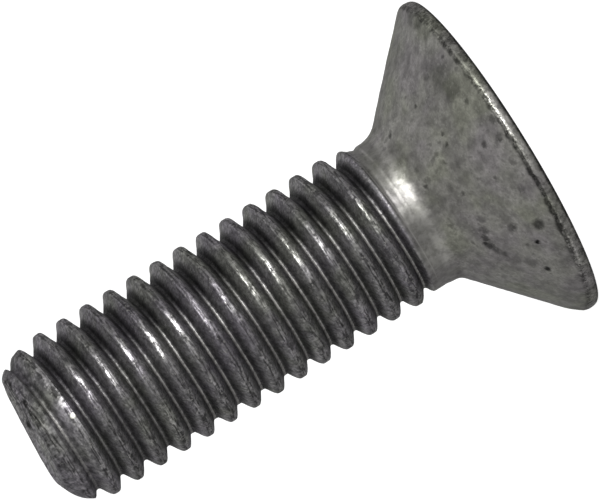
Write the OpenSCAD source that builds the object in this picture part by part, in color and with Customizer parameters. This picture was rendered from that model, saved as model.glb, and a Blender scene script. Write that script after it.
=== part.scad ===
// Countersunk bolt, one solid. It stands on the flat of its head, with the thread upwards.
// The origin is the centre of the head's flat face, and +Z runs along the bolt to its tip.

/* [Bolt] */
// Overall length, from the flat of the head to the tip
bolt_length = 25; // [16:1:50]

/* [Head] */
// Diameter over the rim
head_diameter = 16; // [14:0.5:20]
// Full angle of the cone under the head, in degrees
head_angle = 90; // [80:1:100]
// Height of the upright rim, from the flat face to the cone
rim_height = 0.6; // [0.4:0.1:1]
// Radius of the rim's two worn edges
rim_round = 0.2; // [0.05:0.05:0.2]

/* [Neck] */
// Diameter of the plain neck between the head and the thread
neck_diameter = 7.4; // [7:0.1:7.6]
// Radius of the fillet that leads the cone into the neck
neck_fillet = 1.6; // [0.6:0.1:2]
// Length of the neck between the fillet and the thread
neck_length = 0.5; // [0.2:0.1:3]

/* [Thread] */
// Diameter over the crests
thread_diameter = 8; // [7.8:0.05:8.2]
// Distance from one crest to the next
thread_pitch = 1.25; // [1.1:0.05:1.5]
// Diameter at the bottom of the grooves
root_diameter = 6.65; // [6.5:0.05:6.9]
// Angle between the two flanks, in degrees
flank_angle = 60; // [54:1:61]
// Width of the blunt crest
crest_width = 0.2; // [0.12:0.02:0.24]
// Height by which the middle of a crest or a groove stands past its edges
crest_crown = 0.04; // [0.02:0.01:0.06]
// Length over which the last turn fades into the neck
thread_runout = 0.6; // [0.4:0.1:1.2]

/* [Tip] */
// Diameter of the flat end face
tip_diameter = 5.4; // [4.6:0.1:5.6]
// Length of the rounded lead-in, from the end face to the first crest
tip_length = 1; // [0.5:0.1:1]

/* [Drive socket] */
// Width of the hexagon across its flats
socket_width = 5; // [4:0.5:6]
// Depth of the hexagon
socket_depth = 3.5; // [2:0.1:4]
// Step from a flat of the hexagon in to the wall of the drilled hole
pilot_step = 0.1; // [0.05:0.05:0.3]
// Depth by which the drilled hole runs past the hexagon
pilot_overrun = 0.2; // [0.1:0.1:0.5]
// Full angle of the drilled hole's point, in degrees
point_angle = 120; // [100:5:140]
// Width of the chamfer at the mouth, outside the hexagon's corners
mouth_chamfer = 0.1; // [0.05:0.05:0.4]
// Full angle of the chamfer at the mouth, in degrees
mouth_angle = 120; // [90:5:130]

/* [Hidden] */
$fn = 96;
steel = [0.42, 0.42, 0.4];
// Points round one turn of the thread
turn_steps = 40;
// Depth by which the thread's rod is rooted in the neck
root_in = 1;
// Gap that keeps two overlapping surfaces from meeting face to face
clear = 0.05;
// Length by which a cut runs out past the face that it opens
overcut = 1;

head_r = head_diameter / 2;
neck_r = neck_diameter / 2;
crest_r = thread_diameter / 2;
root_r = root_diameter / 2;
tip_r = tip_diameter / 2;
socket_r = socket_width / 2 / cos(30);
cone_angle = head_angle / 2;

// The rim's lower edge and the neck's fillet are arcs tangent to the cone
rim_top = rim_height - rim_round * tan(cone_angle / 2);
fillet_top = rim_height
    + (neck_fillet - (neck_r + neck_fillet - head_r) * cos(cone_angle)) / sin(cone_angle);
thread_start = fillet_top + neck_length;
runout_slope = (crest_r - neck_r) / thread_runout;
// The tip's arc is tangent to the end face and meets the crests at the end of the lead-in
tip_step = crest_r - tip_r;
tip_arc = (tip_step * tip_step + tip_length * tip_length) / (2 * tip_length);

// Head, cone, fillet and neck in half section, turned about the axis.
// The neck ends in a taper, over which the bottom of the last groove rises to the neck.
module head_and_neck() {
    cone_normal = [cos(cone_angle), sin(cone_angle)];
    rim_centre = [head_r - rim_round, rim_top];
    fillet_centre = [neck_r + neck_fillet, fillet_top];
    core_r = root_r - clear;
    rotate_extrude()
        difference() {
            union() {
                polygon([
                    [0, 0],
                    [head_r - rim_round, 0],
                    [head_r, rim_round],
                    [head_r, rim_top],
                    rim_centre + rim_round * cone_normal,
                    fillet_centre - neck_fillet * cone_normal,
                    [neck_r, fillet_top],
                    [neck_r, thread_start],
                    [core_r, thread_start + thread_runout],
                    [0, thread_start + thread_runout],
                ]);
                translate([head_r - rim_round, rim_round])
                    circle(rim_round);
                translate(rim_centre)
                    circle(rim_round);
            }
            translate(fillet_centre)
                circle(neck_fillet);
        }
}

// Rod with a right-hand thread along all of it. Its points lie on six strands, which wind
// along the groove, the edges of the flanks and the crest. Each strand's next turn lies one
// pitch up, so the last strand of a turn joins the first strand of the turn above it.
module threaded_rod(bottom, top) {
    half_pitch = thread_pitch / 2;
    half_crest = crest_width / 2;
    flank_rise = crest_r - root_r - 2 * crest_crown;
    half_groove = half_pitch - half_crest - flank_rise * tan(flank_angle / 2);
    strands = [
        [0, root_r],
        [half_groove, root_r + crest_crown],
        [half_pitch - half_crest, crest_r - crest_crown],
        [half_pitch, crest_r],
        [half_pitch + half_crest, crest_r - crest_crown],
        [thread_pitch - half_groove, root_r + crest_crown],
    ];
    count = len(strands);
    end = count - 1;
    last = ceil((top - bottom) / thread_pitch * turn_steps);
    function point(step, strand) = step * count + strand;
    function place(step, strand) =
        let (turn = 360 * step / turn_steps, lift = thread_pitch * step / turn_steps)
        [strand[1] * cos(turn), strand[1] * sin(turn), bottom + lift + strand[0]];
    points = [
        for (step = [0:last])
            for (strand = strands)
                place(step, strand),
        [0, 0, bottom + thread_pitch],
        [0, 0, bottom + thread_pitch * last / turn_steps],
    ];
    bottom_centre = point(last + 1, 0);
    top_centre = bottom_centre + 1;
    bottom_edge = concat(
        [for (step = [0:turn_steps]) point(step, 0)],
        [for (strand = [end:-1:1]) point(0, strand)]
    );
    top_edge = concat(
        [for (step = [last - turn_steps:last]) point(step, end)],
        [for (strand = [end - 1:-1:0]) point(last, strand)]
    );
    faces = [
        for (step = [0:last - 1])
            for (strand = [0:end - 1])
                each [
                    [point(step, strand), point(step + 1, strand + 1), point(step + 1, strand)],
                    [point(step, strand), point(step, strand + 1), point(step + 1, strand + 1)],
                ],
        for (step = [0:last - turn_steps - 1])
            let (above = step + turn_steps)
            each [
                [point(step, end), point(above + 1, 0), point(step + 1, end)],
                [point(step, end), point(above, 0), point(above + 1, 0)],
            ],
        for (i = [0:len(bottom_edge) - 1])
            [bottom_edge[i], bottom_edge[(i + 1) % len(bottom_edge)], bottom_centre],
        for (i = [0:len(top_edge) - 1])
            [top_edge[(i + 1) % len(top_edge)], top_edge[i], top_centre],
    ];
    polyhedron(points, faces, convexity = 10);
}

// What the thread is trimmed to: a taper at the neck, and a rounded lead-in at the tip.
module thread_limits() {
    outer = tip_r + tip_arc;
    foot_r = neck_r - clear;
    foot = thread_start - root_in;
    rotate_extrude()
        union() {
            polygon([
                [0, foot],
                [foot_r - root_in * runout_slope, foot],
                [outer, thread_start + (outer - foot_r) / runout_slope],
                [outer, bolt_length - tip_arc],
                [tip_r, bolt_length],
                [0, bolt_length],
            ]);
            translate([tip_r, bolt_length - tip_arc])
                circle(tip_arc);
        }
}

module thread() {
    intersection() {
        threaded_rod(thread_start - root_in - thread_pitch, bolt_length + thread_pitch);
        thread_limits();
    }
}

// Hexagon, with the drilled hole that goes before it and the chamfer round its mouth.
module drive_socket() {
    pilot_r = socket_width / 2 - pilot_step;
    pilot_depth = socket_depth + pilot_overrun;
    mouth_r = socket_r + mouth_chamfer;
    mouth_slope = tan(mouth_angle / 2);
    translate([0, 0, -overcut])
        cylinder(r = socket_r, h = socket_depth + overcut, $fn = 6);
    rotate_extrude()
        polygon([
            [0, -overcut],
            [mouth_r + overcut * mouth_slope, -overcut],
            [pilot_r, (mouth_r - pilot_r) / mouth_slope],
            [pilot_r, pilot_depth],
            [0, pilot_depth + pilot_r / tan(point_angle / 2)],
        ]);
}

module bolt() {
    color(steel)
        union() {
            difference() {
                head_and_neck();
                drive_socket();
            }
            thread();
        }
}

bolt();
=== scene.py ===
"""Countersunk bolt: a dull, zinc-plated steel bolt that stands on the flat of its head."""

import math
from types import SimpleNamespace

import bpy
from mathutils import Matrix, Vector


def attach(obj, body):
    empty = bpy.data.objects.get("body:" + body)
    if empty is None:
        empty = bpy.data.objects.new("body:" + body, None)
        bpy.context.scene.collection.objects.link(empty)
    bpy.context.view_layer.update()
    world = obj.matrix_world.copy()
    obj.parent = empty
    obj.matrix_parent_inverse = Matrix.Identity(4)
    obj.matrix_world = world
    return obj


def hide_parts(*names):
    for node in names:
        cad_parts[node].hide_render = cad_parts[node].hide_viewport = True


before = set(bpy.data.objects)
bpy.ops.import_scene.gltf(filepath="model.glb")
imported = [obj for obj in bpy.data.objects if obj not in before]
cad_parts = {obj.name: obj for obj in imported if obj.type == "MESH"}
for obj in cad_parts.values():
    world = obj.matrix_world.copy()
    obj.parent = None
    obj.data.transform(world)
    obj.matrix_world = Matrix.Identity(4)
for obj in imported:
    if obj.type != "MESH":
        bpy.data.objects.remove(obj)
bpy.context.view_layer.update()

MM = 0.001

# The bolt, in millimetres
BOLT_LENGTH = 25.0
HEAD_RADIUS = 8.12
# Height of the centre of the round from the rim to the cone, and its radius
RIM_TOP = 0.36
RIM_ROUND = 0.5
# The rim under that round, from the flat face up: steps in from its widest, and heights
RIM_FOOT = ((0.16, 0), (0.11, 0.02), (0.07, 0.06), (0.04, 0.12), (0.018, 0.2), (0.004, 0.3))
CONE_ANGLE = math.radians(45)
NECK_RADIUS = 3.73
NECK_FILLET = 1.5
# Radius to which the cone would run down at the height of the flat face
CONE_FOOT = 8.6
FILLET_TOP = (
    NECK_FILLET - (NECK_RADIUS + NECK_FILLET - CONE_FOOT) * math.cos(CONE_ANGLE)
) / math.sin(CONE_ANGLE)

# How the cone is skewed to the worn side: how far it stands out there, the height at
# which that turns into a hollow, and how far from that height it is at its full
CONE_SWELL = 0.13
SWELL_MIDDLE = 2.9
SWELL_REACH = 1.7
# Heights between which the skew sets in, and between which it dies away
SWELL_HEIGHTS = (0.5, 1.2, 4.5, 5.2)
# Share of the neck's radius past which a point lies on the outside
OUTSIDE = 0.9

# The hexagon socket, its drilled hole and the chamfer of its mouth
SOCKET_WIDTH = 5.0
SOCKET_RADIUS = SOCKET_WIDTH / 2 / math.cos(math.radians(30))
SOCKET_DEPTH = 3.5
SOCKET_PILOT = 2.4
SOCKET_OVERRUN = 0.2
# Half the angle of the drilled hole's point
SOCKET_POINT = math.radians(60)
# Where the mouth's chamfer begins, and how much it widens for each millimetre of depth
MOUTH_RADIUS = SOCKET_RADIUS + 0.1
MOUTH_SLOPE = math.tan(math.radians(60))
# Length by which a cutting tool runs out past the flat face
OVERCUT = 1.0

# The thread's radii, its distance from turn to turn and the rounds of its section
CREST_RADIUS = 4.11
ROOT_RADIUS = 3.36
PITCH = 1.25
FLANK_LEAN = math.radians(30)
CREST_ROUND = 0.2
ROOT_ROUND = 0.1325
# Where a crest stands, as a share of the way from one groove to the next
CREST_PLACE = 0.46
# Height of a groove's bottom on the +X side, from which the thread winds up
THREAD_FOOT = 3.863
# Heights between which the thread's grooves and its crests rise from the neck
GROOVE_RUNOUT = (5.56, 6.5)
CREST_RUNOUT = (6.0, 6.8)

# The side on which the crests are worn blunt, the radii that cap them there near the
# head and near the tip, and the heights between which one passes into the other
WORN_SIDE = math.radians(-2)
WORN_RADII = (3.935, 4.0)
WORN_HEIGHTS = (12.5, 14.5)
# The radii that cap them a quarter turn from it and on the other side
HALF_WORN_RADIUS = 4.035
UNWORN_RADIUS = 4.2
# How broadly the worn and the unworn crests are rounded off
WORN_BLEND = 0.1
UNWORN_BLEND = 0.03
# Radius to which dirt fills the grooves on the worn side, and between which heights
FILLED_RADIUS = 3.44
FILLED_HEIGHTS = (12.6, 14.2, 19.2, 20.6)
# How far under a groove's bottom the dirt's radius lies where there is no dirt
UNFILLED_DEPTH = 0.1
# How much higher the crests and deeper the grooves are on the side that isn't worn,
# and how far below the crest each of the two begins
KEPT_CREST = 0.04
KEPT_CREST_FROM = 0.15
KEPT_GROOVE = 0.07
KEPT_GROOVE_FROM = 0.25

# The tip: radius of its end face, length and curve of the lead-in, the radius that the
# lead-in comes from, and how softly it meets the thread
TIP_RADIUS = 3.08
LEAD_IN = 2.5
LEAD_IN_CURVE = 1.65
LEAD_IN_RADIUS = 4.08
LEAD_IN_BLEND = 0.03
# The end face's radius and the lead-in's curve on the worn side
WORN_TIP_RADIUS = 2.3
WORN_TIP_CURVE = 2.0
# Lift of the end face on the unworn and on the worn side, and the places across the
# bolt between which one passes into the other
TIP_LEAN = (-0.04, 0.26)
TIP_LEAN_ACROSS = (-2, 4)
# How far the end face drops again at its worn edge, and from where to where across
TIP_DROP = 0.14
TIP_DROP_ACROSS = (1.8, 3)
# Heights between which the lift and the drop set in
TIP_LEAN_HEIGHTS = (23.6, 24.9)

# Heights between which the neck is joined to the thread, and the thread to the tip
NECK_JOIN = (5.54, 5.57)
TIP_JOIN = (BOLT_LENGTH - 0.44, BOLT_LENGTH - 0.4)

# Radii of the rings drawn on the flat face, and on the end face inside its edge
FACE_RINGS = (0, 1.5, 3.2, 4.5, 6, 7, 7.6)
END_RINGS = (2.1, 1.4, 0.7, 0)
# How finely the round forms are drawn: steps in a turn, and along each line and arc
TURN_STEPS = 160
PILOT_STEPS = 96
RIM_STEPS = 10
CONE_STEPS = 36
FILLET_STEPS = 16
CREST_STEPS = 8
FLANK_STEPS = 4
ROOT_STEPS = 4
TIP_STEPS = 16
# Distance under which points are merged, and under which a cut runs through a point
SAME_POINT = 0.002 * MM
FINE_CUT = 0.0001 * MM
# How far a point may lie from a height or a radius and still count as lying at it
NEAR = 0.01
# Angle between faces over which an edge stays sharp
SHARP = math.radians(40)

# Worn unevenness of the surface: the size of its hollows and their depth
HOLLOWS = ((1.1, 0.02), (0.35, 0.012))
# Height up to which the flat face stays even
EVEN_FOOT = 0.1

# The photograph's camera: where it stands, in millimetres and degrees
VIEW_DISTANCE = 450.0
VIEW_TILT = math.radians(6.93)
VIEW_ROLL = math.radians(31.64)
VIEW_SIDE = math.radians(-2.1)
VIEW_OFFSET = (-1.3, 2.028)
PIXELS_PER_MM = 22.03
PICTURE_WIDTH = 600


# Modelling helpers


def deselect():
    if bpy.context.object and bpy.context.object.mode != "OBJECT":
        bpy.ops.object.mode_set(mode="OBJECT")
    bpy.ops.object.select_all(action="DESELECT")


def activate(piece):
    deselect()
    piece.select_set(True)
    bpy.context.view_layer.objects.active = piece


def edit(piece, action="SELECT"):
    activate(piece)
    bpy.ops.object.mode_set(mode="EDIT")
    bpy.ops.mesh.select_all(action=action)


def edit_selected(piece):
    """Edit mode with what the mesh already has selected."""
    activate(piece)
    bpy.ops.object.mode_set(mode="EDIT")


def leave_edit():
    bpy.ops.object.mode_set(mode="OBJECT")


def drawn_line(name, points):
    """A line of edges through points given as (radius, height) in millimetres."""
    deselect()
    bpy.ops.mesh.primitive_plane_add(size=MM)
    line = bpy.context.object
    line.name = name
    edit(line)
    bpy.ops.mesh.merge(type="CENTER")
    start = Vector((points[0][0], 0, points[0][1])) * MM
    bpy.ops.transform.translate(value=start)
    for here, there in zip(points, points[1:]):
        step = Vector((there[0] - here[0], 0, there[1] - here[1])) * MM
        bpy.ops.mesh.extrude_region_move(TRANSFORM_OT_translate={"value": step})
    leave_edit()
    return line


def turned(name, points, steps=TURN_STEPS):
    """A form turned about the bolt's axis from its half section."""
    form = drawn_line(name, points)
    edit(form)
    bpy.ops.mesh.spin(
        steps=steps, angle=2 * math.pi, center=(0, 0, 0), axis=(0, 0, 1)
    )
    bpy.ops.mesh.select_all(action="SELECT")
    bpy.ops.mesh.remove_doubles(threshold=SAME_POINT)
    bpy.ops.mesh.normals_make_consistent(inside=False)
    leave_edit()
    return form


def arc(centre, radius, start, end, steps):
    return [
        (
            centre[0] + radius * math.cos(start + (end - start) * i / steps),
            centre[1] + radius * math.sin(start + (end - start) * i / steps),
        )
        for i in range(steps + 1)
    ]


def between(low, high, steps):
    """The points that part a straight line evenly, without its ends."""
    return [
        tuple(a + (b - a) * i / steps for a, b in zip(low, high))
        for i in range(1, steps)
    ]


def apply_modifier(piece, kind, **settings):
    activate(piece)
    modifier = piece.modifiers.new(kind.title(), kind)
    for key, value in settings.items():
        setattr(modifier, key, value)
    bpy.ops.object.modifier_apply(modifier=modifier.name)


def cut(piece, tool):
    apply_modifier(
        piece, "BOOLEAN", object=tool, operation="DIFFERENCE", solver="EXACT"
    )
    bpy.data.objects.remove(tool)


def smooth(low, high, x):
    t = min(1.0, max(0.0, (x - low) / (high - low)))
    return t * t * (3 - 2 * t)


# The bolt


def cone_ends():
    """Radius and height at which the cone leaves the rim and meets the fillet."""
    lean = math.cos(CONE_ANGLE)
    rim = HEAD_RADIUS - RIM_ROUND * (1 - lean), RIM_TOP + RIM_ROUND * lean
    fillet = NECK_RADIUS + NECK_FILLET * (1 - lean), FILLET_TOP - NECK_FILLET * lean
    return rim, fillet


def head_section():
    """Half section of the head, from the middle of its flat face to the neck."""
    foot = [(HEAD_RADIUS - inset, height) for inset, height in RIM_FOOT]
    rim = arc((HEAD_RADIUS - RIM_ROUND, RIM_TOP), RIM_ROUND, 0, CONE_ANGLE, RIM_STEPS)
    centre = NECK_RADIUS + NECK_FILLET, FILLET_TOP
    fillet = arc(centre, NECK_FILLET, math.pi + CONE_ANGLE, math.pi, FILLET_STEPS)
    face = [(radius, 0) for radius in FACE_RINGS]
    return face + foot + rim + between(rim[-1], fillet[0], CONE_STEPS) + fillet


def swell_cone(head):
    """Sets the cone slightly askew, wider by the rim and narrower by the neck on one side."""
    start, full, still, end = SWELL_HEIGHTS
    for vertex in head.data.vertices:
        radius = math.hypot(vertex.co.x, vertex.co.y) / MM
        height = vertex.co.z / MM
        share = smooth(start, full, height) * (1 - smooth(still, end, height))
        share *= min(1.0, (SWELL_MIDDLE - height) / SWELL_REACH)
        share *= max(0.0, worn(math.atan2(vertex.co.y, vertex.co.x))) ** 2
        if radius > OUTSIDE * NECK_RADIUS:
            set_radius(vertex, radius + CONE_SWELL * share)


def make_hexagon():
    """The socket's hexagon, with two of its corners on X."""
    depth = SOCKET_DEPTH + 2 * OVERCUT
    deselect()
    bpy.ops.mesh.primitive_cylinder_add(
        vertices=6,
        radius=SOCKET_RADIUS * MM,
        depth=depth * MM,
        location=(0, 0, (SOCKET_DEPTH - depth / 2) * MM),
        rotation=(0, 0, math.radians(90)),
    )
    return bpy.context.object


def make_pilot():
    """The hole drilled before the hexagon is pressed, and the mouth's chamfer."""
    floor = SOCKET_DEPTH + SOCKET_OVERRUN
    return turned(
        "pilot",
        [
            (0, -OVERCUT),
            (MOUTH_RADIUS + OVERCUT * MOUTH_SLOPE, -OVERCUT),
            (SOCKET_PILOT, (MOUTH_RADIUS - SOCKET_PILOT) / MOUTH_SLOPE),
            (SOCKET_PILOT, floor),
            (0, floor + SOCKET_PILOT / math.tan(SOCKET_POINT)),
        ],
        PILOT_STEPS,
    )


def make_head():
    """Head, cone and neck, closed while the socket is cut and then open at its top."""
    top = NECK_JOIN[0]
    head = turned("head", head_section() + [(NECK_RADIUS, top), (0, top)])
    swell_cone(head)
    cut(head, make_hexagon())
    cut(head, make_pilot())
    edit(head, "DESELECT")
    leave_edit()
    for face in head.data.polygons:
        face.select = face.center.z > (top - NEAR) * MM
    edit_selected(head)
    bpy.ops.mesh.delete(type="FACE")
    leave_edit()
    return head


def thread_section():
    """One pitch of the thread, from the bottom of a groove to the next."""
    half = PITCH / 2
    turn = math.pi / 2 - FLANK_LEAN
    crest = arc((CREST_RADIUS - CREST_ROUND, half), CREST_ROUND, -turn, turn, CREST_STEPS)
    low = arc((ROOT_RADIUS + ROOT_ROUND, 0), ROOT_ROUND, math.pi, math.pi - turn, ROOT_STEPS)
    high = [(r, PITCH - z) for r, z in reversed(low)]
    rise = between(low[-1], crest[0], FLANK_STEPS)
    fall = between(crest[-1], high[0], FLANK_STEPS)
    # The crest is then moved to its place between the two grooves
    below, above = 2 * CREST_PLACE, 2 * (1 - CREST_PLACE)
    return [
        (r, z * below if z < half else PITCH - (PITCH - z) * above)
        for r, z in low + rise + crest + fall + high
    ]


def worn(turn):
    """From 1 on the worn side to -1 on the other."""
    return math.cos(turn - WORN_SIDE)


def lead_in_radius(turn, height):
    """Radius to which the tip is rounded off at an angle and a height."""
    below = min(1.0, max(0.0, (BOLT_LENGTH - height) / LEAD_IN))
    near = max(0.0, worn(turn)) ** 2
    curve = LEAD_IN_CURVE + (WORN_TIP_CURVE - LEAD_IN_CURVE) * near
    reach = (1 - (1 - below) ** curve) ** (1 / curve)
    end = TIP_RADIUS + (WORN_TIP_RADIUS - TIP_RADIUS) * near
    return end + (LEAD_IN_RADIUS - end) * reach


def blended_least(a, b, blend=LEAD_IN_BLEND):
    """The lesser of two radii, with a rounded edge where they cross."""
    return min(a, b) - blend * math.log(1 + math.exp(-abs(a - b) / blend))


def worn_radius(radius, turn, height):
    """The radius left where crests are worn blunt and grooves are filled on one side."""
    side = worn(turn)
    near, far = max(0.0, side), max(0.0, -side)
    crest = smooth(CREST_RADIUS - KEPT_CREST_FROM, CREST_RADIUS, radius)
    radius += far * KEPT_CREST * crest
    crest = smooth(CREST_RADIUS - KEPT_GROOVE_FROM, CREST_RADIUS, radius)
    radius -= far * KEPT_GROOVE * (1 - crest)
    low, high = WORN_RADII
    blunt = low + (high - low) * smooth(*WORN_HEIGHTS, height)
    cap = HALF_WORN_RADIUS + (blunt - HALF_WORN_RADIUS) * near**2
    cap += (UNWORN_RADIUS - HALF_WORN_RADIUS) * far
    radius = blended_least(radius, cap, UNWORN_BLEND + (WORN_BLEND - UNWORN_BLEND) * near)
    rise, full, still, fall = FILLED_HEIGHTS
    filled = smooth(rise, full, height) * (1 - smooth(still, fall, height)) * near**4
    dirt_and_shade = ROOT_RADIUS - UNFILLED_DEPTH + (FILLED_RADIUS - ROOT_RADIUS + UNFILLED_DEPTH) * filled
    return -blended_least(-radius, -dirt_and_shade)


def faded_radius(radius, height):
    """The thread's radius as it fades into the neck."""
    fade = smooth(*(GROOVE_RUNOUT if radius < NECK_RADIUS else CREST_RUNOUT), height)
    return NECK_RADIUS + (radius - NECK_RADIUS) * fade


def thread_radius(turn, height, section):
    """Radius of the thread's surface at an angle and a height."""
    along = (height - THREAD_FOOT - PITCH * turn / (2 * math.pi)) % PITCH
    for (r0, z0), (r1, z1) in zip(section, section[1:]):
        if z0 <= along <= z1:
            return r0 + (r1 - r0) * (along - z0) / max(z1 - z0, 1e-9)
    return ROOT_RADIUS


def set_radius(vertex, radius):
    now = math.hypot(vertex.co.x, vertex.co.y)
    vertex.co.x *= radius * MM / now
    vertex.co.y *= radius * MM / now


def make_thread():
    section = thread_section()
    thread = drawn_line("thread", [(r, THREAD_FOOT + z) for r, z in section])
    apply_modifier(
        thread,
        "SCREW",
        axis="Z",
        angle=2 * math.pi,
        screw_offset=PITCH * MM,
        iterations=math.ceil((BOLT_LENGTH - THREAD_FOOT) / PITCH) + 1,
        steps=TURN_STEPS,
        render_steps=TURN_STEPS,
    )
    edit(thread)
    bpy.ops.mesh.remove_doubles(threshold=SAME_POINT)
    up = (0, 0, 1)
    foot, top = ((0, 0, height * MM) for height in (NECK_JOIN[1], TIP_JOIN[0]))
    bpy.ops.mesh.bisect(plane_co=foot, plane_no=up, clear_inner=True, threshold=FINE_CUT)
    bpy.ops.mesh.select_all(action="SELECT")
    bpy.ops.mesh.bisect(plane_co=top, plane_no=up, clear_outer=True, threshold=FINE_CUT)
    leave_edit()
    for vertex in thread.data.vertices:
        radius = math.hypot(vertex.co.x, vertex.co.y) / MM
        height = vertex.co.z / MM
        turn = math.atan2(vertex.co.y, vertex.co.x) % (2 * math.pi)
        radius = faded_radius(worn_radius(radius, turn, height), height)
        set_radius(vertex, blended_least(radius, lead_in_radius(turn, height)))
    return thread


def make_tip():
    """The rounded end, from the last groove to the flat face."""
    depth = BOLT_LENGTH - TIP_JOIN[1]
    heights = [BOLT_LENGTH - depth * (1 - i / TIP_STEPS) ** 2 for i in range(TIP_STEPS + 1)]
    rows = [(lead_in_radius(math.pi, height), height) for height in heights]
    tip = turned("tip", rows + [(radius, BOLT_LENGTH) for radius in END_RINGS])
    section = thread_section()
    for vertex in tip.data.vertices:
        radius = math.hypot(vertex.co.x, vertex.co.y) / MM
        height = vertex.co.z / MM
        if radius > TIP_RADIUS - NEAR:
            turn = math.atan2(vertex.co.y, vertex.co.x) % (2 * math.pi)
            groove = worn_radius(thread_radius(turn, height, section), turn, height)
            set_radius(vertex, blended_least(groove, lead_in_radius(turn, height)))
    return tip


def lean_tip(piece):
    """Sets the end face slightly askew, farther out on the worn side."""
    low, high = TIP_LEAN
    for vertex in piece.data.vertices:
        across = vertex.co.x * math.cos(WORN_SIDE) + vertex.co.y * math.sin(WORN_SIDE)
        lift = low + (high - low) * smooth(*TIP_LEAN_ACROSS, across / MM)
        lift -= TIP_DROP * smooth(*TIP_DROP_ACROSS, across / MM)
        vertex.co.z += lift * smooth(*TIP_LEAN_HEIGHTS, vertex.co.z / MM) * MM


def bridge(piece, heights):
    """Joins the two open edges that lie at the given heights."""
    edit(piece, "DESELECT")
    bpy.ops.mesh.select_mode(type="EDGE")
    bpy.ops.mesh.select_non_manifold()
    leave_edit()
    low, high = (h * MM for h in heights)
    rows = [v.co.z for v in piece.data.vertices]
    for edge in piece.data.edges:
        ends = [rows[i] for i in edge.vertices]
        near = low - NEAR * MM < min(ends) and max(ends) < high + NEAR * MM
        edge.select = edge.select and near
    edit_selected(piece)
    bpy.ops.mesh.bridge_edge_loops()
    leave_edit()


def wear(piece):
    """Small hollows and swellings of a rolled, plated and handled surface."""
    standing = piece.vertex_groups.new(name="standing")
    above = [v.index for v in piece.data.vertices if v.co.z > EVEN_FOOT * MM]
    standing.add(above, 1.0, "REPLACE")
    for size, depth in HOLLOWS:
        clouds = bpy.data.textures.new("hollows", "CLOUDS")
        clouds.noise_scale = size * MM
        clouds.noise_depth = 2
        apply_modifier(
            piece,
            "DISPLACE",
            texture=clouds,
            texture_coords="LOCAL",
            strength=2 * depth * MM,
            mid_level=0.5,
            vertex_group="standing",
        )
    piece.vertex_groups.clear()


def make_bolt():
    head = make_head()
    tip = make_tip()
    bolt = make_thread()
    activate(bolt)
    head.select_set(True)
    tip.select_set(True)
    bpy.ops.object.join()
    bolt.name = "plated_bolt"
    bridge(bolt, NECK_JOIN)
    bridge(bolt, TIP_JOIN)
    edit(bolt)
    bpy.ops.mesh.normals_make_consistent(inside=False)
    leave_edit()
    lean_tip(bolt)
    wear(bolt)
    activate(bolt)
    bpy.ops.object.shade_smooth_by_angle(angle=SHARP)
    return bolt


# Shader helpers


class Nodes:
    """A node tree that is filled one node at a time."""

    def __init__(self, tree):
        self.tree = tree

    def add(self, kind, inputs=(), **settings):
        node = self.tree.nodes.new(kind)
        for key, value in settings.items():
            setattr(node, key, value)
        for key, value in dict(inputs).items():
            self.plug(value, node.inputs[key])
        return node

    def plug(self, value, socket):
        if isinstance(value, bpy.types.NodeSocket):
            self.tree.links.new(value, socket)
        else:
            socket.default_value = value

    def math(self, operation, a, b=0.0):
        return self.add("ShaderNodeMath", {0: a, 1: b}, operation=operation).outputs[0]

    def over_all(self, operation, values):
        total = values[0]
        for value in values[1:]:
            total = self.math(operation, total, value)
        return total

    def plus(self, *values):
        return self.over_all("ADD", values)

    def times(self, *values):
        return self.over_all("MULTIPLY", values)

    def most(self, *values):
        return self.over_all("MAXIMUM", values)

    def rest(self, value):
        """What is left of one when a value is taken away."""
        return self.math("SUBTRACT", 1.0, value)

    def vector(self, operation, a, b=(0, 0, 0), result=0):
        node = self.add("ShaderNodeVectorMath", {0: a, 1: b}, operation=operation)
        return node.outputs[result]

    def ramp(self, value, low, high, start=0.0, end=1.0):
        """A value that rises smoothly from start to end between low and high."""
        node = self.add(
            "ShaderNodeMapRange",
            {"Value": value, "From Min": low, "From Max": high, "To Min": start, "To Max": end},
            interpolation_type="SMOOTHSTEP",
        )
        return node.outputs["Result"]

    def band(self, value, rise, full, still, fall):
        """A mask that rises from rise to full and sinks from still to fall."""
        return self.times(self.ramp(value, rise, full), self.ramp(value, still, fall, 1, 0))

    def noise(self, place, size, detail=2.0, rough=0.5, distortion=0.0):
        node = self.add(
            "ShaderNodeTexNoise",
            {
                "Vector": place,
                "Scale": 1 / size,
                "Detail": detail,
                "Roughness": rough,
                "Distortion": distortion,
            },
        )
        return node.outputs[0]

    def mix(self, amount, a, b, blend="MIX"):
        node = self.add("ShaderNodeMix", data_type="RGBA", blend_type=blend)
        self.plug(amount, node.inputs[0])
        self.plug(a, node.inputs[6])
        self.plug(b, node.inputs[7])
        return node.outputs[2]

    def shade(self, colour, factor):
        """The colour made lighter or darker by a factor."""
        node = self.add("ShaderNodeVectorMath", {0: colour, "Scale": factor}, operation="SCALE")
        return node.outputs[0]


def grey(value):
    return (value, value, value, 1)


def new_material(name):
    material = bpy.data.materials.new(name)
    material.use_nodes = True
    return material, Nodes(material.node_tree), material.node_tree.nodes["Principled BSDF"]


# The plating

CONE_GREY = (0.232, 0.228, 0.212, 1)
# The crests are painted darker and the flanks lighter than the cone: painted shade and painted
# light in the thread
DARKENED_CREST_GREY = (0.19, 0.185, 0.187, 1)
LIGHTENED_FLANK_GREY = (0.268, 0.262, 0.267, 1)
OLIVE = (0.99, 1.02, 0.93, 1)
VIOLET = (1.01, 0.98, 1.05, 1)
# Bare metal for the grains, and the grey of the painted highlights
BARE_METAL_AND_HIGHLIGHT = (0.45, 0.44, 0.42, 1)
GLINT_WHITE = (0.9, 0.89, 0.82, 1)
# The side on which the grooves' painted shade is darkest and their painted highlight fades.
# Many shades go by how much a point faces it
SHADED_SIDE = math.radians(155)

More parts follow.
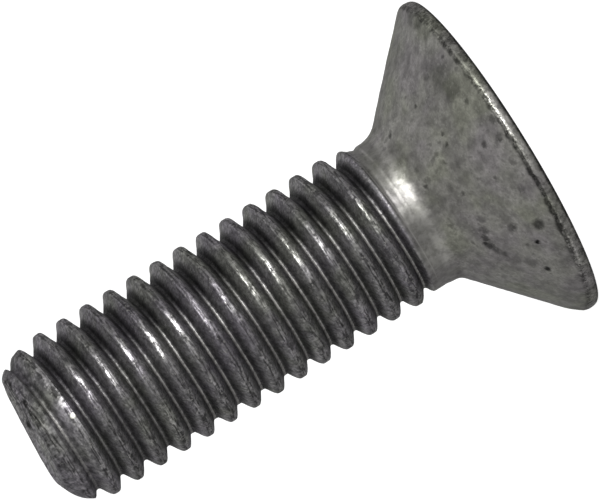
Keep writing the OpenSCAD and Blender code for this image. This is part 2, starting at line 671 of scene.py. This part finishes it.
# Where each part's shade sets in, from the first height or radius to the second. Where
# there are four, it dies away from the third to the fourth
RIM_HEIGHTS = (0.7, 0.55)
RIM_RADII = (7.3, 7.5)
# Painted shade in the crease above the rim and along the rim's edge by the flat face
CREASE_SHADE_HEIGHTS = (0.42, 0.51, 0.62, 0.74)
CREASE_SHADE_RADII = (7.5, 7.8)
EDGE_SHADE_HEIGHTS = (0.18, 0.06)
BRINK_RADII = (7.5, 7.7)
# Where the rim gets its painted highlight
RIM_HIGHLIGHT_HEIGHTS = (0.1, 0.18, 0.36, 0.46)
FILLET_HEIGHTS = (4.65, 5.2, 6.0, 6.3)
NECK_HEIGHTS = (4.8, 5.3, 6.1, 6.4)
THREAD_HEIGHTS = (5.95, 6.4)
TIP_HEIGHTS = (23.0, 23.9)
END_FACE_HEIGHTS = (24.7, 24.95)
END_EDGE_RADII = (2.2, 2.8)

# Half width of the crest's shade, and width of the painted highlight line above and below
# the bottom of a groove, each with a soft edge between two distances
CREST_EDGE = (0.08, 0.18)
LINE_ABOVE = (0.06, 0.12)
LINE_BELOW = (0.01, 0.04)
# Heights between which the line grows weaker towards the tip, and at which it ends
LINE_FADE = (17.0, 21.5)
LINE_END = (24.2, 24.6)
# The stretch of the last groove in which it stays strong: from which height, and how
# much a point there faces the shaded side
LAST_GROOVE = (23.2, 23.6)
LAST_GROOVE_SIDE = (0.0, 0.35, 0.75, 0.95)
# The painted highlight on the edge at which the first turn leaves the neck: how far above
# the bottom of the groove it lies, and between which heights
START_HIGHLIGHT = (0.6, 0.63, 0.66, 0.69)
START_HIGHLIGHT_HEIGHTS = (5.8, 5.9, 6.16, 6.3)
# Painted shade in bands above and below a crest: how far above the groove, and how dark
CREST_SHADOWS = (((0.6, 0.69, 0.76, 0.92), 0.32), ((0.32, 0.4, 0.46, 0.52), 0.12))
# How far the edges of the painted shade in the grooves stray
GROOVE_STRAY = 0.015
# The streaks that the rolling left along the thread
STREAK_WIDTH = 0.1
STREAK_LENGTH = 0.7

# The grain's size, how far the fine lines round the rim stray, and how the noise of the
# end face is drawn out
GRAIN_SIZE = 0.09
LINE_STRAY = 0.12
SHEARED = (1, 0.12, 0)

# Dark marks on the cone: degrees round the bolt from +X, height and size in
# millimetres, and how dark each is
MARKS = (
    (51, 1.65, 0.16, 0.97),
    (50, 1.75, 0.4, 0.2),
    (36, 1.65, 0.16, 0.9),
    (140, 4.4, 0.12, 0.7),
    (51, 3.45, 0.14, 0.8),
    (104, 2.82, 0.12, 0.65),
    (95, 4.44, 0.12, 0.6),
    (130, 2.94, 0.11, 0.6),
    (109, 2.73, 0.11, 0.55),
    (129, 0.93, 0.12, 0.6),
    (94, 1.59, 0.14, 0.6),
    (92, 0.96, 0.11, 0.55),
    (81, 3.3, 0.11, 0.5),
    (81, 1.89, 0.12, 0.55),
    (50, 1.98, 0.11, 0.5),
    (59, 1.29, 0.26, 0.7),
    (59, 2.26, 0.22, 0.45),
    (132, 1.89, 0.2, 0.45),
    (74, 1.23, 0.2, 0.4),
    (39, 2.13, 0.3, 0.35),
    (107, 4.38, 0.16, 0.35),
    (110, 1.2, 0.12, 0.45),
    (99, 3.3, 0.1, 0.4),
    # The stain near the rim
    (126, 1.43, 0.8, 0.3),
    (133, 1.48, 0.5, 0.3),
    (119, 1.48, 0.6, 0.25),
    (128, 1.95, 0.35, 0.2),
    # Dark marks by the rim on the shaded side
    (142, 0.75, 0.4, 0.35),
    (150, 0.7, 0.4, 0.4),
    (157, 0.68, 0.4, 0.35),
    # A smudge and a crease by the rim
    (93, 0.96, 0.25, 0.45),
    (99, 0.76, 0.2, 0.45),
    # The bowed stain
    (66, 3.2, 0.2, 0.42),
    (60, 3.32, 0.22, 0.5),
    (55, 3.4, 0.2, 0.6),
    (50, 3.36, 0.22, 0.62),
    (46, 3.2, 0.22, 0.52),
    (44, 2.98, 0.18, 0.4),
)
# A mark fades from the first to the second of these shares of its size
MARK_EDGE = (0.5, 1.6)
# Size of the noise that makes the marks' edges uneven, and how far it moves them
MARK_DRIFT_SIZE = 0.25
MARK_DRIFT = 0.3
# The pit in the end face, its size and darkness. It is drawn out along Y and in depth
# by a scale on its place
TIP_PIT = (-0.78, -0.08, BOLT_LENGTH)
TIP_PIT_SIZE = 0.2
TIP_PIT_DARK = 0.95
TIP_PIT_DRAW = (1, 0.2, 1)
# A nick on the crest by the tip, painted near white as a glint
TIP_GLINT = (0.07, 3.94, 23.45)
TIP_GLINT_SIZE = 0.11


def find_place(nodes):
    """Where a point of the surface lies on the bolt, in millimetres, and on which part."""
    place = nodes.shade(nodes.add("ShaderNodeTexCoord").outputs["Object"], 1 / MM)
    x, y, height = nodes.add("ShaderNodeSeparateXYZ", {0: place}).outputs
    flat = nodes.add("ShaderNodeCombineXYZ", {0: x, 1: y}).outputs[0]
    side = (math.cos(SHADED_SIDE), math.sin(SHADED_SIDE), 0)
    outwards = nodes.vector("NORMALIZE", flat)
    radius = nodes.vector("LENGTH", flat, result=1)
    tip = nodes.ramp(height, *TIP_HEIGHTS)
    return SimpleNamespace(
        place=place,
        height=height,
        turn=nodes.math("ARCTAN2", y, x),
        radius=radius,
        shaded_side=nodes.vector("DOT_PRODUCT", outwards, side, result=1),
        rim=nodes.times(nodes.ramp(height, *RIM_HEIGHTS), nodes.ramp(radius, *RIM_RADII)),
        fillet=nodes.band(height, *FILLET_HEIGHTS),
        neck=nodes.band(height, *NECK_HEIGHTS),
        thread=nodes.ramp(height, *THREAD_HEIGHTS),
        tip=tip,
        off_tip=nodes.rest(nodes.times(tip, 0.6)),
    )


def find_mottle(nodes, at):
    """The surface's unevenness, from broad clouds down to grain."""
    grain = nodes.add("ShaderNodeTexVoronoi", {"Vector": at.place, "Scale": 1 / GRAIN_SIZE})
    streak = nodes.noise(at.place, 0.5, 3.0, 0.6)
    along = nodes.plus(at.height, nodes.times(streak, LINE_STRAY))
    sheared = nodes.vector("MULTIPLY", at.place, SHEARED)
    return SimpleNamespace(
        clouds=nodes.noise(at.place, 1.5, 2.0, 0.5, 0.3),
        blotches=nodes.noise(at.place, 0.5, 2.0, 0.5, 0.2),
        flecks=nodes.noise(at.place, 0.3, 2.0, 0.55),
        specks=nodes.noise(at.place, 0.16, 1.0),
        sheared=nodes.noise(sheared, 0.15, 2.0),
        tint=nodes.noise(at.place, 2.6, 2.0, 0.6),
        grain=nodes.add("ShaderNodeSeparateColor", {0: grain.outputs["Color"]}).outputs[0],
        streak=streak,
        lines=nodes.noise(nodes.add("ShaderNodeCombineXYZ", {2: along}).outputs[0], 0.09, 1.0),
    )


def find_thread(nodes, at, mottle):
    """How far a point lies above the groove under it and below the next, and its crest."""
    turns = nodes.math("DIVIDE", nodes.math("SUBTRACT", at.height, THREAD_FOOT), PITCH)
    around = nodes.math("DIVIDE", at.turn, 2 * math.pi)
    wound = nodes.math("SUBTRACT", turns, around)
    at.above = nodes.times(nodes.math("FRACT", wound), PITCH)
    at.below = nodes.math("SUBTRACT", PITCH, at.above)
    stray = nodes.ramp(mottle.streak, 0.3, 0.7, -GROOVE_STRAY, GROOVE_STRAY)
    at.groove = nodes.plus(nodes.math("MINIMUM", at.above, at.below), stray)
    from_crest = nodes.math("ABSOLUTE", nodes.math("SUBTRACT", at.above, CREST_PLACE * PITCH))
    at.crest = nodes.times(nodes.ramp(from_crest, *CREST_EDGE, 1, 0), at.thread)
    turns = nodes.plus(around, nodes.math("FLOOR", wound))
    along = nodes.times(turns, 2 * math.pi * CREST_RADIUS)
    streaks = nodes.add(
        "ShaderNodeCombineXYZ",
        {0: nodes.times(at.above, 1 / STREAK_WIDTH), 1: nodes.times(along, 1 / STREAK_LENGTH)},
    )
    at.rolled = nodes.noise(streaks.outputs[0], 1.0, 1.0)


def find_lines(nodes, at, mottle):
    """Painted highlights: the light line along the grooves, and the edge at which the first turn
    begins.
    """
    # Towards the tip the line grows weaker, but for a stretch of the last groove
    last = nodes.times(
        nodes.ramp(at.height, *LAST_GROOVE), nodes.band(at.shaded_side, *LAST_GROOVE_SIDE)
    )
    at.root = nodes.times(
        nodes.most(
            nodes.ramp(at.above, *LINE_ABOVE, 1, 0), nodes.ramp(at.below, *LINE_BELOW, 1, 0)
        ),
        at.thread,
        nodes.ramp(at.shaded_side, 0.35, 0.98, 1, 0),
        nodes.ramp(at.height, *LINE_END, 1, 0),
        nodes.most(nodes.ramp(at.height, *LINE_FADE, 1, 0.4), last),
        nodes.ramp(mottle.specks, 0.36, 0.56, 0.5, 1),
    )
    at.start_line = nodes.times(
        nodes.band(at.above, *START_HIGHLIGHT), nodes.band(at.height, *START_HIGHLIGHT_HEIGHTS)
    )


def thread_shade(nodes, at):
    """How dark the painted shade makes the thread from its grooves to its crests, more so on the
    shaded side, and 1 off the thread.
    """
    # Painted shade that deepens the grooves on the shaded side
    dirt_and_shade = nodes.times(
        nodes.ramp(at.shaded_side, 0.6, 0.9), nodes.ramp(at.groove, 0.1, 0.36, 0.55, 0)
    )
    shadows = [nodes.times(nodes.band(at.above, *place), dark) for place, dark in CREST_SHADOWS]
    shade = nodes.times(
        nodes.ramp(at.below, 0.12, 0.42, 0.3, 1),
        nodes.ramp(at.above, 0.14, 0.42, 0.55, 1.05),
        nodes.rest(nodes.plus(*shadows)),
        nodes.rest(dirt_and_shade),
    )
    amount = nodes.times(at.thread, at.off_tip)
    return nodes.plus(1.0, nodes.times(amount, nodes.math("SUBTRACT", shade, 1.0)))


def blot(nodes, place, centre, size, dark):
    """A round mark with a soft edge."""
    away = nodes.vector("DISTANCE", place, centre, result=1)
    full, gone = MARK_EDGE
    return nodes.ramp(away, full * size, gone * size, dark, 0.0)


def find_marks(nodes, at):
    """The dark marks of the cone, with uneven edges, and the pit in the end face."""
    drift = nodes.add(
        "ShaderNodeTexNoise", {"Vector": at.place, "Scale": 1 / MARK_DRIFT_SIZE, "Detail": 2.0}
    )
    drift = nodes.vector("SUBTRACT", drift.outputs["Color"], (0.5, 0.5, 0.5))
    uneven = nodes.vector("ADD", at.place, nodes.shade(drift, MARK_DRIFT))
    marks = []
    top, foot = cone_ends()
    slope = (top[0] - foot[0]) / (foot[1] - top[1])
    for angle, height, size, dark in MARKS:
        radius = top[0] - (height - top[1]) * slope
        turn = math.radians(angle)
        centre = (radius * math.cos(turn), radius * math.sin(turn), height)
        marks.append(blot(nodes, uneven, centre, size, dark))
    drawn = nodes.vector("MULTIPLY", at.place, TIP_PIT_DRAW)
    centre = [a * b for a, b in zip(TIP_PIT, TIP_PIT_DRAW)]
    marks.append(blot(nodes, drawn, centre, TIP_PIT_SIZE, TIP_PIT_DARK))
    return nodes.most(*marks)


def find_stain_and_shade(nodes, at, mottle):
    """Grime in patches and in the marks, with painted shade in the crease above the rim and along
    the rim's edge by the flat face.
    """
    patch = nodes.times(
        nodes.ramp(mottle.blotches, 0.54, 0.7), nodes.ramp(mottle.clouds, 0.46, 0.6), 0.45
    )
    # The painted shade in the crease is thickest along one stretch of the rim
    fades = nodes.ramp(at.shaded_side, -0.5, -0.05, 0.35, 1)
    thick = nodes.ramp(at.shaded_side, 1.0, 0.35, 0.6, 1.0)
    wavy = nodes.plus(at.height, nodes.ramp(mottle.blotches, 0.3, 0.7, -0.03, 0.03))
    crease_shade = nodes.times(
        nodes.band(wavy, *CREASE_SHADE_HEIGHTS),
        nodes.ramp(at.radius, *CREASE_SHADE_RADII),
        nodes.most(nodes.ramp(mottle.blotches, 0.35, 0.65, 0.7, 0.3), nodes.times(thick, 0.78)),
        fades,
    )
    # Painted shade along the rim's edge by the flat face
    edge_shade = nodes.times(
        nodes.ramp(at.height, *EDGE_SHADE_HEIGHTS), nodes.ramp(at.radius, *BRINK_RADII), fades, 0.7
    )
    return nodes.most(patch, crease_shade, edge_shade, find_marks(nodes, at))


def own_colour(nodes, at, mottle):
    """The plating's colour on the cone, the flanks and the crests, with its tinges. The flanks are
    painted lighter and the crests darker: painted light and painted shade.
    """
    colour = nodes.mix(at.crest, LIGHTENED_FLANK_GREY, DARKENED_CREST_GREY)
    colour = nodes.mix(at.thread, CONE_GREY, colour)
    for tinge, edge in ((OLIVE, 0.64), (VIOLET, 0.36)):
        tinged = nodes.mix(1.0, colour, tinge, "MULTIPLY")
        colour = nodes.mix(nodes.ramp(mottle.tint, 0.5, edge), colour, tinged)
    return colour


def rim_and_tip_tone(nodes, at, mottle):
    """How much lighter or darker the rim, the neck and the tip are: speckle, with painted light on
    the rim and the neck and painted shade on the tip.
    """
    # The rim and the neck are painted lighter: painted light, speckled on the rim
    rim = nodes.times(at.rim, nodes.ramp(mottle.flecks, 0.35, 0.65, -0.15, 0.5))
    neck = nodes.times(at.neck, nodes.rest(at.thread), 0.2)
    # Painted shade on the end face and on the tip's shaded side, over the tip's speckle
    end_face = nodes.times(
        nodes.ramp(at.height, *END_FACE_HEIGHTS), nodes.ramp(mottle.sheared, 0.35, 0.65, -0.5, 0.1)
    )
    end_speckle_and_shade = nodes.plus(
        nodes.ramp(mottle.flecks, 0.35, 0.65, -0.22, 0.22),
        nodes.ramp(mottle.specks, 0.38, 0.62, -0.05, 0.05),
        nodes.ramp(at.shaded_side, 0.3, 0.9, 0, -0.22),
        end_face,
    )
    return nodes.plus(1.0, rim, nodes.times(at.tip, end_speckle_and_shade), neck)


def skin_tones(nodes, at, mottle):
    """Factors of the grain, the rolled skin of the thread and the shine of its crests."""
    # The tip is mottled more broadly than the thread
    skin = nodes.times(at.thread, nodes.rest(nodes.times(at.tip, 0.7)))
    depth = nodes.plus(0.08, nodes.times(skin, 0.14), nodes.times(at.rim, 0.3))
    speckle = nodes.times(nodes.ramp(mottle.grain, 0, 1, -1, 1), depth)
    rolled = nodes.times(skin, nodes.ramp(at.rolled, 0.3, 0.7, -0.08, 0.08))
    specks = nodes.times(skin, nodes.ramp(mottle.specks, 0.38, 0.62, -0.2, 0.2))
    # The crests' shine is broken into dashes
    broken = nodes.times(at.crest, nodes.ramp(at.rolled, 0.42, 0.58, 0.42, -0.65))
    return nodes.plus(1.0, speckle), nodes.plus(1.0, rolled, specks), nodes.rest(broken)


def painted_highlights(nodes, at, mottle):
    """Where the fillet, the thread's first edge and a stretch of the rim get painted highlights.
    """
    return nodes.most(
        nodes.times(at.fillet, nodes.ramp(mottle.flecks, 0.38, 0.62, 0.18, 0.48)),
        nodes.times(at.start_line, 0.8),
        nodes.times(
            nodes.band(at.height, *RIM_HIGHLIGHT_HEIGHTS),
            nodes.ramp(at.shaded_side, 0.75, 0.6),
            nodes.ramp(at.shaded_side, 0.1, 0.35, 0.45, 1),
            nodes.ramp(at.radius, *BRINK_RADII),
            nodes.ramp(mottle.flecks, 0.38, 0.62, 0.3, 0.8),
        ),
    )


def bare_grains(nodes, at, mottle):
    """Light grains of bare metal, more of them on the thread and the rim."""
    return nodes.times(
        nodes.ramp(mottle.grain, 0.9, 0.96),
        nodes.ramp(nodes.most(at.thread, at.rim), 0, 1, 0.12, 0.45),
        nodes.ramp(at.groove, 0.2, 0.35),
        at.off_tip,
    )


def plating_colour(nodes, at, mottle, stain_and_shade):
    colour = own_colour(nodes, at, mottle)
    for factor in (
        nodes.ramp(mottle.clouds, 0.3, 0.7, 0.82, 1.18),
        nodes.ramp(mottle.blotches, 0.3, 0.7, 0.8, 1.2),
        nodes.ramp(mottle.flecks, 0.3, 0.7, 0.89, 1.11),
        rim_and_tip_tone(nodes, at, mottle),
        *skin_tones(nodes, at, mottle),
        # Painted shade: the tip's lead-in darker than its end face
        nodes.rest(nodes.times(at.tip, nodes.ramp(at.radius, *END_EDGE_RADII), 0.2)),
        thread_shade(nodes, at),
        nodes.rest(stain_and_shade),
    ):
        colour = nodes.shade(colour, factor)
    for amount in (
        # The painted highlight line along the grooves
        nodes.times(at.root, 0.97),
        painted_highlights(nodes, at, mottle),
        bare_grains(nodes, at, mottle),
    ):
        colour = nodes.mix(amount, colour, BARE_METAL_AND_HIGHLIGHT)
    # A painted glint on the crest by the tip
    return nodes.mix(blot(nodes, at.place, TIP_GLINT, TIP_GLINT_SIZE, 1.0), colour, GLINT_WHITE)


def plating_roughness(nodes, at, mottle, stain_and_shade):
    return nodes.plus(
        nodes.ramp(mottle.clouds, 0.3, 0.7, 0.52, 0.42),
        nodes.times(at.thread, 0.1),
        nodes.times(at.tip, 0.14),
        nodes.times(at.rim, nodes.ramp(mottle.grain, 0, 1, 0.1, -0.14)),
        nodes.times(
            at.crest, nodes.rest(at.tip), nodes.ramp(at.rolled, 0.42, 0.58, -0.02, -0.22)
        ),
        nodes.times(
            nodes.ramp(mottle.grain, 0, 1, 0.08, -0.08),
            nodes.ramp(at.thread, 0, 1, 0.4, 1),
            at.off_tip,
        ),
        nodes.times(at.fillet, -0.06),
        nodes.times(stain_and_shade, 0.15),
    )


def plating_relief(nodes, at, mottle, stain_and_shade):
    """Height of the surface's fine relief, in millimetres."""
    soft = nodes.times(mottle.blotches, 0.02)
    return nodes.plus(
        nodes.times(soft, nodes.rest(nodes.times(at.fillet, 0.6))),
        nodes.times(stain_and_shade, -0.012),
        nodes.times(mottle.streak, at.thread, 0.012),
        nodes.times(mottle.lines, nodes.most(at.rim, nodes.times(at.neck, 0.5)), 0.004),
        nodes.times(at.rolled, at.thread, 0.005),
    )


def plated_steel():
    material, nodes, shader = new_material("dull_zinc")
    at = find_place(nodes)
    mottle = find_mottle(nodes, at)
    find_thread(nodes, at, mottle)
    find_lines(nodes, at, mottle)
    stain_and_shade = find_stain_and_shade(nodes, at, mottle)
    relief = plating_relief(nodes, at, mottle, stain_and_shade)
    bump = nodes.add("ShaderNodeBump", {"Height": relief, "Distance": MM, "Strength": 1.0})
    shader.inputs["Metallic"].default_value = 1.0
    nodes.plug(plating_colour(nodes, at, mottle, stain_and_shade), shader.inputs["Base Color"])
    nodes.plug(plating_roughness(nodes, at, mottle, stain_and_shade), shader.inputs["Roughness"])
    nodes.plug(bump.outputs[0], shader.inputs["Normal"])
    return material


# The stage

# Soft boxes: degrees round the bolt from the camera towards the picture's upper
# left, degrees above the floor, distance and size in metres, and brightness
SOFT_BOXES = {
    "key": (26, 13, 0.5, 0.22, 0.22, 16.0),
    "overhead": (180, 75, 0.6, 0.7, 0.7, 0.3),
    "side": (-75, 5, 0.6, 0.5, 0.4, 0.6),
    "back": (125, 25, 0.6, 0.5, 0.5, 0.3),
}
# Brightness of the room below and overhead, and the heights between which it changes
DIM_ROOM = (0.1, 0.5)
ROOM_HEIGHTS = (-0.1, 0.45)
# The paper's size in metres, its grey to the bolt and to the camera, and its glow
PAPER_SIZE = 6
PAPER_GREY = (0.35, 0.45)
PAPER_GLOW = 0.85
# The camera's sensor in millimetres, and the nearest that it sees in metres
SENSOR_WIDTH = 36
NEAREST = 0.01


def make_floor():
    """White paper that glows to the camera and stays dim in the bolt's reflections."""
    deselect()
    bpy.ops.mesh.primitive_plane_add(size=PAPER_SIZE)
    floor = bpy.context.object
    floor.name = "pale_floor"
    material, nodes, shader = new_material("pale_paper")
    seen = nodes.add("ShaderNodeLightPath").outputs["Is Camera Ray"]
    shader.inputs["Roughness"].default_value = 1.0
    shader.inputs["Specular IOR Level"].default_value = 0.0
    shader.inputs["Emission Strength"].default_value = 1.0
    dim, pale = PAPER_GREY
    nodes.plug(nodes.mix(seen, grey(dim), grey(pale)), shader.inputs["Base Color"])
    nodes.plug(nodes.mix(seen, grey(0), grey(PAPER_GLOW)), shader.inputs["Emission Color"])
    floor.data.materials.append(material)


def camera_axes():
    """The camera's right, down and forward directions, in the bolt's frame."""
    tilt, roll = VIEW_TILT, VIEW_ROLL
    axis = Vector(
        (-math.cos(tilt) * math.cos(roll), math.cos(tilt) * math.sin(roll), -math.sin(tilt))
    )
    across = Vector((math.sin(roll), math.cos(roll), 0))
    third = axis.cross(across)
    side = Vector((math.cos(VIEW_SIDE), math.sin(VIEW_SIDE), 0))
    back = Vector((-math.sin(VIEW_SIDE), math.cos(VIEW_SIDE), 0))
    up = Vector((0, 0, 1))
    return [across[i] * side + third[i] * back + axis[i] * up for i in range(3)]


def make_camera(right, down, forward):
    middle = Vector((0, 0, BOLT_LENGTH / 2))
    place = middle - forward * VIEW_DISTANCE - right * VIEW_OFFSET[0] - down * VIEW_OFFSET[1]
    data = bpy.data.cameras.new("camera")
    data.sensor_width = SENSOR_WIDTH
    data.lens = PIXELS_PER_MM * VIEW_DISTANCE * data.sensor_width / PICTURE_WIDTH
    data.clip_start = NEAREST
    camera = bpy.data.objects.new("camera", data)
    bpy.context.scene.collection.objects.link(camera)
    turn = Matrix((right, -down, -forward)).transposed().to_4x4()
    camera.matrix_world = Matrix.Translation(place * MM) @ turn
    bpy.context.scene.camera = camera


def make_lights(right, down, forward):
    """Soft boxes that all face the middle of the bolt."""
    middle = Vector((0, 0, BOLT_LENGTH / 2 * MM))
    up = Vector((0, 0, 1))
    front = Vector((-forward.x, -forward.y, 0)).normalized()
    left = -(right * math.sin(VIEW_ROLL) + down * math.cos(VIEW_ROLL))
    left = Vector((left.x, left.y, 0)).normalized()
    for name, (around, above, distance, width, height, bright) in SOFT_BOXES.items():
        turn, lift = math.radians(around), math.radians(above)
        out = front * math.cos(turn) + left * math.sin(turn)
        out = out * math.cos(lift) + up * math.sin(lift)
        data = bpy.data.lights.new(name, "AREA")
        data.shape = "RECTANGLE"
        data.size, data.size_y = width, height
        data.energy = bright * math.pi * width * height
        light = bpy.data.objects.new(name, data)
        bpy.context.scene.collection.objects.link(light)
        facing = out.to_track_quat("Z", "Y").to_matrix().to_4x4()
        light.matrix_world = Matrix.Translation(middle + out * distance) @ facing


def make_room():
    """The dim room round the paper, a little brighter overhead."""
    world = bpy.data.worlds.new("studio")
    bpy.context.scene.world = world
    world.use_nodes = True
    nodes = Nodes(world.node_tree)
    place = nodes.add("ShaderNodeTexCoord").outputs["Generated"]
    height = nodes.add("ShaderNodeSeparateXYZ", {0: place}).outputs[2]
    sky = world.node_tree.nodes["Background"]
    low, high = DIM_ROOM
    sky.inputs["Strength"].default_value = 1.0
    brightness = nodes.mix(nodes.ramp(height, *ROOM_HEIGHTS), grey(low), grey(high))
    nodes.plug(brightness, sky.inputs["Color"])


axes = camera_axes()
make_camera(*axes)
make_floor()
make_lights(*axes)
make_room()
bpy.context.scene.view_settings.view_transform = "Standard"

bolt = make_bolt()
bolt.data.materials.clear()
bolt.data.materials.append(plated_steel())
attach(bolt, "root")
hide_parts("bolt")
